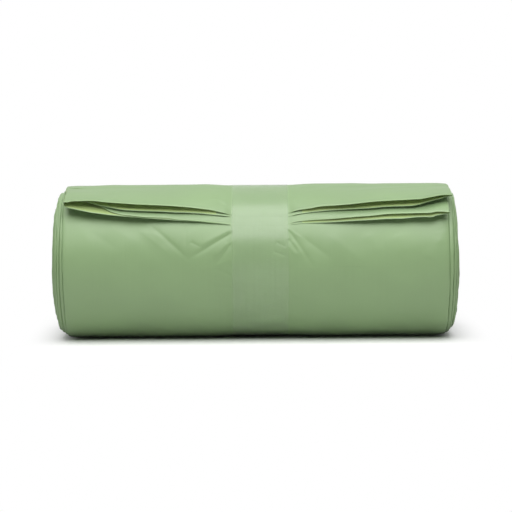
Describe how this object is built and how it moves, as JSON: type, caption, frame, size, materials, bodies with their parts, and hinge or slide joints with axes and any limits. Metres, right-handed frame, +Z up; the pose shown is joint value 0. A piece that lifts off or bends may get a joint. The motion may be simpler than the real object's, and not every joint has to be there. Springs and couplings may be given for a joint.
{
  "type": "bin bag roll",
  "caption": "Roll of folded plastic bin bags lying on its side, its layered loose end held shut by a narrow film band.",
  "frame": {"origin": "middle of the flat spot that the roll lies on, half way along the roll, in the plane of the surface under it", "axes": "+X along the roll, +Z up, -Y towards the side where the loose end shows"},
  "size_m": [0.2046, 0.0764, 0.0766],
  "materials": {
    "bag_film": "satin",
    "band_film": "gloss"
  },
  "bodies": {
    "root": {"bag_roll": "bag_film", "band": "band_film"}
  },
  "joints": []
}
